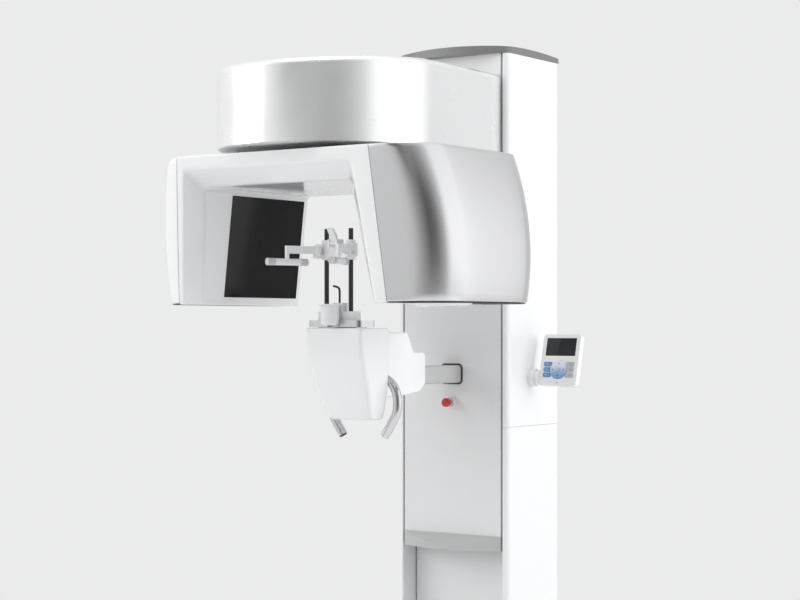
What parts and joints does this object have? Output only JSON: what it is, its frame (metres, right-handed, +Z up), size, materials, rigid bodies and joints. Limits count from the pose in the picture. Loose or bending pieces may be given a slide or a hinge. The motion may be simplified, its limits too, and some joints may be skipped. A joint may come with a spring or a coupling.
{
  "type": "dental panoramic and cone-beam ct scanner",
  "caption": "Floor-standing dental CT unit: lifting column, overhead arm, rotating U-shaped gantry, chin rest with handles and head support, side console.",
  "frame": {"origin": "on the floor, at the centre of the four floor anchors, under the plane of the column's front panel", "axes": "+Z up; the patient stands on the -Y side, facing the column; +X is the side of the console and the X-ray source"},
  "size_m": [0.841, 1.052, 2.17],
  "materials": {
    "white_gloss": "gloss white moulded cover",
    "white_enamel": "satin white enamel",
    "panel_grey": "satin light grey enamel",
    "cap_grey": "satin mid grey enamel",
    "brushed_cover": "fine vertical brushing, clear coated",
    "polished_steel": "polished",
    "brushed_plate": "brushed",
    "machined": "machined",
    "dark_steel": "ground rod and rails",
    "black_gloss": "gloss black window",
    "black_satin": "satin black",
    "head_white": "satin off-white",
    "cup_clear": "translucent",
    "pad_grey": "matt grey rubber",
    "seal_dark": "matt dark rubber",
    "stop_red": "gloss red",
    "key_blue": "gloss blue key",
    "key_grey": "gloss grey key",
    "key_ring": "gloss, white at the top fading to blue",
    "screen": "dark display glass",
    "base_grey": "textured grey enamel"
  },
  "bodies": {
    "base": {"base_plate": "base_grey", "mast": "panel_grey", "mast_bolts": "dark_steel", "guide_blocks": "machined", "lift_actuator": "machined", "mains_inlet": "black_satin"},
    "column": {"left_lower_cover": "white_enamel", "right_lower_cover": "white_enamel", "left_upper_cover": "white_enamel", "right_upper_cover": "white_enamel", "rear_cover": "white_enamel", "front_panel": "panel_grey", "top_cap": "cap_grey", "bottom_tray": "cap_grey", "column_frame": "machined", "guide_rails": "dark_steel", "actuator_rod": "polished_steel", "port_collar": "seal_dark", "stop_collar": "panel_grey", "console_mount": "white_gloss", "arm_shell": "white_gloss", "arm_floor": "white_enamel", "arm_frame": "machined", "support_bar": "panel_grey", "chin_rest_block": "white_gloss", "chin_rest_body": "white_gloss", "handles": "polished_steel", "chin_tray": "brushed_plate", "chin_cup": "cup_clear", "bite_rod": "black_satin", "support_posts": "black_satin"},
    "stop_button": {"stop_button": "stop_red"},
    "stage": {"rotation_stage": "machined", "rotation_motor": "black_satin"},
    "gantry": {"gantry_shell": "white_gloss", "sensor_outer_cover": "white_gloss", "source_outer_cover": "brushed_cover", "sensor_window": "black_gloss", "gantry_frame": "machined", "rotation_hub": "machined", "detector_module": "machined", "tube_housing": "machined", "collimator": "machined"},
    "head_support": {"head_bracket": "head_white"},
    "forehead_blade": {"forehead_blade": "head_white"},
    "temple_left": {"temple_arm_left": "head_white", "temple_pads_left": "pad_grey"},
    "temple_right": {"temple_arm_right": "head_white", "temple_pads_right": "pad_grey"},
    "console": {"console_front": "white_gloss", "console_back": "white_gloss", "console_screen": "screen"},
    "ring_key": {"ring_key": "key_ring"},
    "centre_key": {"centre_key": "key_grey"},
    "left_key_1": {"left_key_1": "key_blue"},
    "left_key_2": {"left_key_2": "key_blue"},
    "left_key_3": {"left_key_3": "key_blue"},
    "right_key_1": {"right_key_1": "key_grey"},
    "right_key_2": {"right_key_2": "key_grey"},
    "right_key_3": {"right_key_3": "key_grey"}
  },
  "joints": [
    {"name": "lift", "type": "slide", "parent": "base", "child": "column", "axis": [0, 0, 1], "range_m": [-0.5, 0.2]},
    {"name": "axis_slide", "type": "slide", "parent": "column", "child": "stage", "axis": [0, 1, 0], "range_m": [-0.03, 0.015]},
    {"name": "gantry_rotation", "type": "hinge", "parent": "stage", "child": "gantry", "pos_m": [0, -0.522, 1.7], "axis": [0, 0, 1], "range_deg": [-180, 180]},
    {"name": "head_height", "type": "slide", "parent": "column", "child": "head_support", "axis": [0, 0, 1], "range_m": [-0.06, 0.02]},
    {"name": "forehead_tilt", "type": "hinge", "parent": "head_support", "child": "forehead_blade", "pos_m": [0, -0.504, 1.65], "axis": [1, 0, 0], "range_deg": [-20, 60]},
    {"name": "temple_right_swing", "type": "hinge", "parent": "head_support", "child": "temple_right", "pos_m": [0.044, -0.51, 1.63], "axis": [0, 0, 1], "range_deg": [-12, 12]},
    {"name": "temple_left_swing", "type": "hinge", "parent": "head_support", "child": "temple_left", "pos_m": [-0.044, -0.51, 1.63], "axis": [0, 0, 1], "range_deg": [-12, 12]},
    {"name": "console_tilt", "type": "hinge", "parent": "column", "child": "console", "pos_m": [0.187, 0.114, 1.323], "axis": [1, 0, 0], "range_deg": [-40, 24]},
    {"name": "stop_press", "type": "slide", "parent": "column", "child": "stop_button", "axis": [0, 1, 0], "range_m": [0, 0.005], "stiffness_N_per_m": 1500},
    {"name": "ring_press", "type": "slide", "parent": "console", "child": "ring_key", "axis": [0, 0.9703, -0.2419], "range_m": [0, 0.0008], "stiffness_N_per_m": 1500},
    {"name": "centre_press", "type": "slide", "parent": "console", "child": "centre_key", "axis": [0, 0.9703, -0.2419], "range_m": [0, 0.0012], "stiffness_N_per_m": 1000},
    {"name": "left_press_1", "type": "slide", "parent": "console", "child": "left_key_1", "axis": [0, 0.9703, -0.2419], "range_m": [0, 0.0008], "stiffness_N_per_m": 1000},
    {"name": "left_press_2", "type": "slide", "parent": "console", "child": "left_key_2", "axis": [0, 0.9703, -0.2419], "range_m": [0, 0.0008], "stiffness_N_per_m": 1000},
    {"name": "left_press_3", "type": "slide", "parent": "console", "child": "left_key_3", "axis": [0, 0.9703, -0.2419], "range_m": [0, 0.0008], "stiffness_N_per_m": 1000},
    {"name": "right_press_1", "type": "slide", "parent": "console", "child": "right_key_1", "axis": [0, 0.9703, -0.2419], "range_m": [0, 0.0008], "stiffness_N_per_m": 1000},
    {"name": "right_press_2", "type": "slide", "parent": "console", "child": "right_key_2", "axis": [0, 0.9703, -0.2419], "range_m": [0, 0.0008], "stiffness_N_per_m": 1000},
    {"name": "right_press_3", "type": "slide", "parent": "console", "child": "right_key_3", "axis": [0, 0.9703, -0.2419], "range_m": [0, 0.0008], "stiffness_N_per_m": 1000}
  ],
  "couplings": [
    {"joint": "temple_left_swing", "follows": "temple_right_swing", "ratio": -1}
  ]
}
